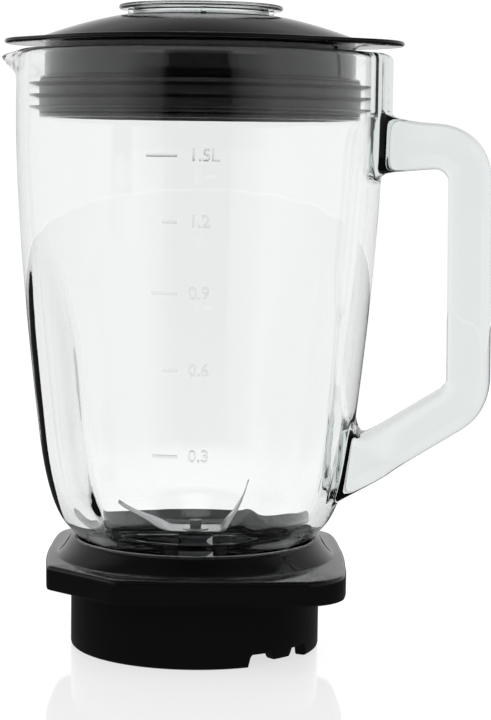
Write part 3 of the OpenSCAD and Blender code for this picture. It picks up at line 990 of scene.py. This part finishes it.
# Silicone, moulded: pale grey and satin
silicone = grained(
    "grey_silicone",
    {"Base Color": linear("#8b8e91"), "Roughness": 0.45, "IOR": 1.43},
    0.9,
    0.02,
    detail=3,
)
# Nylon with glass fibre, moulded: black and matt, with fibres just under the skin
nylon = grained(
    "glass_filled_nylon",
    {"Base Color": linear("#1b1b1d"), "Roughness": 0.55, "IOR": 1.53},
    0.5,
    0.03,
    detail=5,
)
for name, finish in {
    "jug_seal": silicone,
    "bearing_housing": aluminium,
    "housing_gasket": rubber,
    "nut_washer": plated,
    "housing_nut": brass,
    "upper_bush": bronze,
    "lower_bush": bronze,
    "oil_felt": felt,
    "shaft_seal": rubber,
    "shaft": dark,
    "top_washer": plated,
    "blade_spacer": dark,
    "blade_washer": plated,
    "bottom_washer": plated,
    "circlip": dark,
    "coupling_insert": plated,
    "drive_coupling": nylon,
}.items():
    nodes[name].data.materials.clear()
    nodes[name].data.materials.append(finish)

# ---------------------------------------------------------------------------
# Studio: a lit white table and even white light all round. Only gloss sees the tent, which is
# dark in front and bright at the sides, and a dark board hangs behind the camera.
# ---------------------------------------------------------------------------
world = bpy.data.worlds.new("white studio")
bpy.context.scene.world = world
world.use_nodes = True
world.node_tree.nodes["Background"].inputs["Color"].default_value = (1, 1, 1, 1)
world.node_tree.nodes["Background"].inputs["Strength"].default_value = 1.04
bpy.context.scene.view_settings.view_transform = "Standard"


def set_stage(name, mesh, matrix, rays):
    """Stands a floor, card or tent on the stage, seen only by the named kinds of ray."""
    obj = bpy.data.objects.new(name, mesh)
    obj.matrix_world = matrix
    bpy.context.scene.collection.objects.link(obj)
    for kind in ("camera", "diffuse", "glossy", "transmission", "shadow"):
        setattr(obj, "visible_" + kind, kind in rays)
    return obj


def flat_sheet(name, width, height):
    mesh = bpy.data.meshes.new(name)
    w, h = width / 2, height / 2
    mesh.from_pydata([(-w, -h, 0), (w, -h, 0), (w, h, 0), (-w, h, 0)], [], [(0, 1, 2, 3)])
    return mesh


def flat_disc(name, radius, steps=96):
    mesh = bpy.data.meshes.new(name)
    rim = [(radius * math.cos(math.tau * i / steps), radius * math.sin(math.tau * i / steps), 0)
           for i in range(steps)]
    mesh.from_pydata(rim, [], [tuple(range(steps))])
    return mesh


floor = set_stage(
    "floor",
    flat_disc("floor", 0.62),
    Matrix.Translation((0, 0, -0.0002)),
    ("camera", "diffuse", "transmission", "shadow"),
)
# Cast acrylic lit from below: white, with the soft mirror of its polished face
acrylic, acrylic_tree, acrylic_shader = finish_of(
    "lit_white_acrylic",
    {
        "Base Color": linear("#8c8c8c"),
        "Roughness": 0.06,
        "IOR": 1.45,
        "Emission Color": (1, 1, 1, 1),
        "Emission Strength": 0.7,
    },
)
ripple(acrylic_tree, acrylic_shader, 60, 0.01, (1, 1, 1), 2.0)
# the table melts into the white all round it, so that no edge shows
spread_at = add_node(acrylic_tree, "ShaderNodeTexCoord")
far = add_node(
    acrylic_tree, "ShaderNodeVectorMath", {"operation": "LENGTH"}, {0: (spread_at, "Object")}
)
fade = add_node(
    acrylic_tree,
    "ShaderNodeMapRange",
    {"interpolation_type": "SMOOTHSTEP", "From Min": 0.22, "From Max": 0.6},
    {"Value": (far, "Value")},
)
air = add_node(acrylic_tree, "ShaderNodeBsdfTransparent")
melt = add_node(
    acrylic_tree,
    "ShaderNodeMixShader",
    links={0: (fade, "Result"), 1: (acrylic_shader, "BSDF"), 2: (air, "BSDF")},
)
acrylic_tree.links.new(
    melt.outputs["Shader"], acrylic_tree.nodes["Material Output"].inputs["Surface"]
)
floor.data.materials.append(acrylic)

# The tent: light falls off towards the camera's side and towards the crown of the roof.
tent_r = 1.6
tent_mesh = bpy.data.meshes.new("tent")
tent_verts, tent_faces, tent_steps, tent_rows = [], [], 48, 12
for row in range(tent_rows + 1):
    rise = math.pi / 2 * row / tent_rows
    for i in range(tent_steps):
        turn = math.tau * i / tent_steps
        tent_verts.append(
            (
                tent_r * math.cos(rise) * math.cos(turn),
                tent_r * math.cos(rise) * math.sin(turn),
                tent_r * math.sin(rise) - 0.001,
            )
        )
for row in range(tent_rows):
    for i in range(tent_steps):
        a, b = row * tent_steps + i, row * tent_steps + (i + 1) % tent_steps
        tent_faces.append((a, b, b + tent_steps, a + tent_steps))
tent_mesh.from_pydata(tent_verts, [], tent_faces)
tent = set_stage("tent", tent_mesh, Matrix.Rotation(view_turn, 4, "Z"), ("glossy",))


def ramp_of(tree, source, stops):
    """A ramp through (position, brightness) stops, fed by a 0 to 1 value."""
    node = add_node(tree, "ShaderNodeValToRGB", links={"Fac": source})
    ramp = node.color_ramp
    while len(ramp.elements) < len(stops):
        ramp.elements.new(0.5)
    for element, (position, level) in zip(ramp.elements, stops):
        element.position = position
        element.color = (level, level, level, 1)
    return node


def emitter(name):
    """A material that only glows, and the sockets to feed it."""
    material = bpy.data.materials.new(name)
    material.use_nodes = True
    tree = material.node_tree
    tree.nodes.clear()
    glow = add_node(tree, "ShaderNodeEmission")
    add_node(tree, "ShaderNodeOutputMaterial", links={"Surface": (glow, "Emission")})
    return material, tree, glow


def aside_of(tree):
    """The object's own axes, and how far a point lies aside of its -Y, in radians."""
    place = add_node(tree, "ShaderNodeTexCoord")
    axes = add_node(tree, "ShaderNodeSeparateXYZ", links={"Vector": (place, "Object")})
    flip = add_node(tree, "ShaderNodeMath", {"operation": "MULTIPLY", 1: -1}, {0: (axes, "Y")})
    aim = add_node(
        tree, "ShaderNodeMath", {"operation": "ARCTAN2"}, {0: (axes, "X"), 1: (flip, 0)}
    )
    return axes, add_node(tree, "ShaderNodeMath", {"operation": "ABSOLUTE"}, {0: (aim, 0)})


# White cloth: the ramps give its brightness round the object and up to the roof
tent_cloth, tent_tree, tent_glow = emitter("tent_cloth")
axes, aside = aside_of(tent_tree)
turned = add_node(tent_tree, "ShaderNodeMath", {"operation": "DIVIDE", 1: math.pi}, {0: (aside, 0)})
raised = add_node(tent_tree, "ShaderNodeMath", {"operation": "DIVIDE", 1: tent_r}, {0: (axes, "Z")})
wall_stops = [
    (0, 0.03), (0.12, 0.05), (0.13, 0.2), (0.2, 0.26), (0.28, 0.34), (0.37, 0.46), (0.48, 0.66),
    (0.62, 0.76),
]
wall_light = ramp_of(tent_tree, (turned, 0), wall_stops)
roof_light = ramp_of(tent_tree, (turned, 0), [(0, 0.12), (0.5, 0.55), (0.7, 0.48), (1, 0.28)])
roof_share = ramp_of(tent_tree, (raised, 0), [(0.28, 0), (0.52, 1)])
both = add_node(
    tent_tree,
    "ShaderNodeMix",
    {"data_type": "RGBA"},
    {0: (roof_share, "Color"), 6: (wall_light, "Color"), 7: (roof_light, "Color")},
)
crown = ramp_of(tent_tree, (raised, 0), [(0.58, 1), (0.74, 0.2)])
tent_tree.links.new(both.outputs[2], tent_glow.inputs["Color"])
tent_tree.links.new(crown.outputs["Color"], tent_glow.inputs["Strength"])
tent.data.materials.append(tent_cloth)

# A grey mat under the table, which only gloss sees: it keeps low reflections quiet
mat = set_stage(
    "floor_mat", flat_disc("floor_mat", 1.55), Matrix.Translation((0, 0, -0.0008)), ("glossy",)
)
mat_felt, _, mat_glow = emitter("grey_mat")
mat_glow.inputs["Color"].default_value = (0.07, 0.07, 0.07, 1)
mat.data.materials.append(mat_felt)

board_wide = 0.96
board_away = 1.25
board_turn = view_turn - math.radians(1.2)


def behind_camera(z):
    """Stands a flat sheet upright behind the camera, its middle at a height."""
    return (
        Matrix.Rotation(board_turn, 4, "Z")
        @ Matrix.Translation((0, -board_away, z))
        @ Matrix.Rotation(math.pi / 2, 4, "X")
    )


board = set_stage(
    "dark_board",
    flat_sheet("dark_board", board_wide, 0.3),
    behind_camera(0.28),
    ("diffuse", "glossy", "transmission", "shadow"),
)
# Black cotton cloth: no shine, and a coarse weave
board.data.materials.append(
    grained("black_studio_cloth", {"Base Color": linear("#050505"), "Roughness": 0.9}, 3, 0.2)
)

# A grey apron hangs below the board: the flutes' edges bend its light to the eye.
apron = set_stage(
    "grey_apron",
    flat_sheet("grey_apron", board_wide, 0.5),
    behind_camera(-0.12),
    ("transmission",),
)
apron_cloth, _, apron_glow = emitter("grey_apron_cloth")
apron_glow.inputs["Color"].default_value = (0.3, 0.3, 0.3, 1)
apron.data.materials.append(apron_cloth)

# Two grey side wings, which only light bent through the glass sees.
wing_from = 20.5
wing_sweep = 27.5
wing_away = 1.3
wing_verts, wing_faces, wing_steps = [], [], 12
for side in (-1, 1):
    for i in range(wing_steps + 1):
        turn = side * math.radians(wing_from + wing_sweep * i / wing_steps)
        for z in (0.13, 0.43):
            wing_verts.append((wing_away * math.sin(turn), -wing_away * math.cos(turn), z))
for first in (0, 2 * wing_steps + 2):
    for i in range(wing_steps):
        a = first + 2 * i
        wing_faces.append((a, a + 2, a + 3, a + 1))
wing_mesh = bpy.data.meshes.new("side_wings")
wing_mesh.from_pydata(wing_verts, [], wing_faces)
wings = set_stage(
    "side_wings", wing_mesh, Matrix.Rotation(board_turn, 4, "Z"), ("transmission",)
)
wing_cloth, wing_tree, wing_glow = emitter("grey_wings")
axes, aside = aside_of(wing_tree)
lit = ramp_of(wing_tree, (aside, 0), [(0.35, 0.14), (0.5, 0.3), (0.68, 0.62), (0.84, 1.0)])
wing_tree.links.new(lit.outputs["Color"], wing_glow.inputs["Color"])
wings.data.materials.append(wing_cloth)
